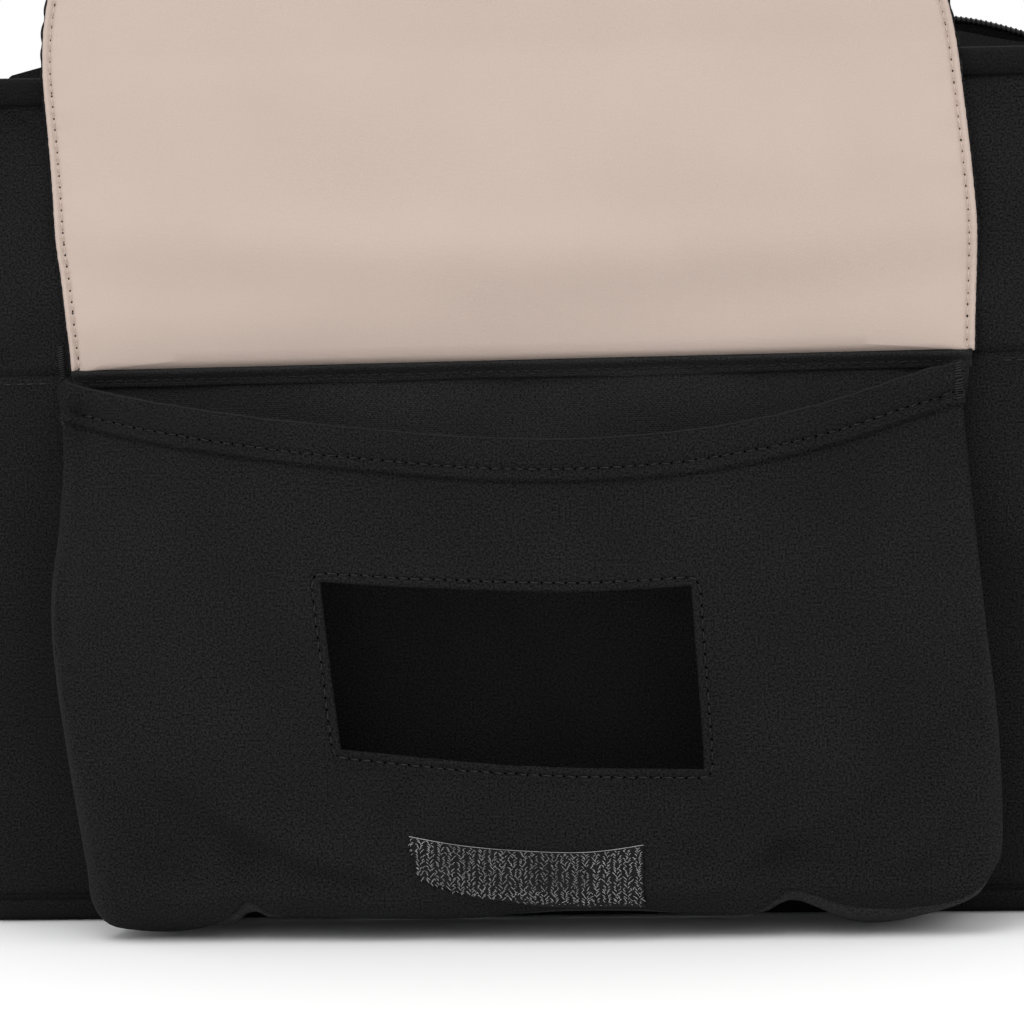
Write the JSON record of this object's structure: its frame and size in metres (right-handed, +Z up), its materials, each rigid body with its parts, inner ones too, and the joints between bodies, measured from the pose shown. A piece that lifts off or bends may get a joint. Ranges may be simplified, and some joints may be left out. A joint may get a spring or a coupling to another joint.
{
  "type": "changing bag",
  "caption": "Padded fabric changing bag with zipped roof, bellows front pocket with dispenser window, and a lined flap that folds over it onto hook tape.",
  "frame": {"origin": "centre of the base, on the surface that the bag stands on", "axes": "+X across the bag's width, to the right seen from the front; -Y towards the front, where the pocket and flap are; +Z up"},
  "size_m": [0.3666, 0.1834, 0.3592],
  "materials": {
    "black_fabric": "matte, finely peached woven polyester",
    "black_trim": "matte folded seam band and binding",
    "black_webbing": "ribbed woven webbing",
    "beige_lining": "smooth satin lining",
    "white_foam": "soft wadding sheet",
    "grey_board": "matte",
    "hook_tape_grey": "nylon hooks on woven tape",
    "loop_tape_black": "looped pile",
    "zip_nylon": "satin",
    "dark_metal": "satin gunmetal"
  },
  "bodies": {
    "root": {"front_panel_lower": "black_fabric", "front_panel_upper": "black_fabric", "back_panel": "black_fabric", "side_panel_left": "black_fabric", "side_panel_right": "black_fabric", "base_panel": "black_fabric", "base_board": "grey_board", "lining_floor": "beige_lining", "foam_front": "white_foam", "foam_back": "white_foam", "foam_left": "white_foam", "foam_right": "white_foam", "lining_front": "beige_lining", "lining_back": "beige_lining", "lining_left": "beige_lining", "lining_right": "beige_lining", "rim_band": "black_trim", "base_binding": "black_trim", "roof_end_left": "black_fabric", "roof_end_right": "black_fabric", "zip_tape_left": "zip_nylon", "zip_tape_right": "zip_nylon", "zip_coil_left": "zip_nylon", "zip_coil_right": "zip_nylon", "zip_end_tab_left": "black_webbing", "zip_end_tab_right": "black_webbing", "flap_seam_band": "black_trim", "pocket_front": "black_fabric", "pocket_mouth_facing": "black_fabric", "window_facing": "black_fabric", "pocket_gusset_left": "black_fabric", "pocket_gusset_right": "black_fabric", "pocket_gusset_bottom": "black_fabric", "hook_tape": "hook_tape_grey", "side_tab_left": "black_webbing", "side_tab_right": "black_webbing"},
    "flap_base": {"flap_lining_base": "beige_lining", "flap_wadding_base": "white_foam", "flap_shell_base": "black_fabric"},
    "flap_main": {"flap_lining_main": "beige_lining", "flap_wadding_main": "white_foam", "flap_shell_main": "black_fabric", "loop_tape": "loop_tape_black"},
    "top_front": {"top_panel_front": "black_fabric", "top_lining_front": "beige_lining", "zip_tape_front": "zip_nylon", "zip_coil_front": "zip_nylon"},
    "top_back": {"top_panel_back": "black_fabric", "top_lining_back": "beige_lining", "zip_tape_back": "zip_nylon", "zip_coil_back": "zip_nylon"},
    "zip_slider": {"zip_slider": "dark_metal"},
    "zip_pull": {"zip_pull": "dark_metal"},
    "d_ring_left": {"d_ring_left": "dark_metal"},
    "d_ring_right": {"d_ring_right": "dark_metal"}
  },
  "joints": [
    {"name": "flap_fold", "type": "hinge", "parent": "root", "child": "flap_base", "pos_m": [0, -0.0745, 0.162], "axis": [1, 0, 0], "range_deg": [0, 95]},
    {"name": "flap_tip_fold", "type": "hinge", "parent": "flap_base", "child": "flap_main", "pos_m": [0, -0.07101, 0.20185], "axis": [1, 0, 0], "range_deg": [0, 90]},
    {"name": "zip_slide", "type": "slide", "parent": "root", "child": "zip_slider", "axis": [-1, 0, 0], "range_m": [0, 0.204]},
    {"name": "top_front_fold", "type": "hinge", "parent": "root", "child": "top_front", "pos_m": [0, -0.0585, 0.25], "axis": [1, 0, 0], "range_deg": [0, 70]},
    {"name": "top_back_fold", "type": "hinge", "parent": "root", "child": "top_back", "pos_m": [0, 0.0585, 0.25], "axis": [-1, 0, 0], "range_deg": [0, 90]},
    {"name": "zip_pull_swing", "type": "hinge", "parent": "zip_slider", "child": "zip_pull", "pos_m": [0.102, 0, 0.2661], "axis": [0, -1, 0], "range_deg": [0, 180]},
    {"name": "d_ring_left_swing", "type": "hinge", "parent": "root", "child": "d_ring_left", "pos_m": [-0.1797, 0, 0.226], "axis": [0, 1, 0], "range_deg": [0, 150]},
    {"name": "d_ring_right_swing", "type": "hinge", "parent": "root", "child": "d_ring_right", "pos_m": [0.1797, 0, 0.226], "axis": [0, -1, 0], "range_deg": [0, 150]}
  ],
  "couplings": [
    {"joint": "flap_tip_fold", "follows": "flap_fold", "ratio": 0.9473},
    {"joint": "top_front_fold", "follows": "zip_slide", "rad_per_m": 5.98},
    {"joint": "top_back_fold", "follows": "zip_slide", "rad_per_m": 7.69}
  ]
}
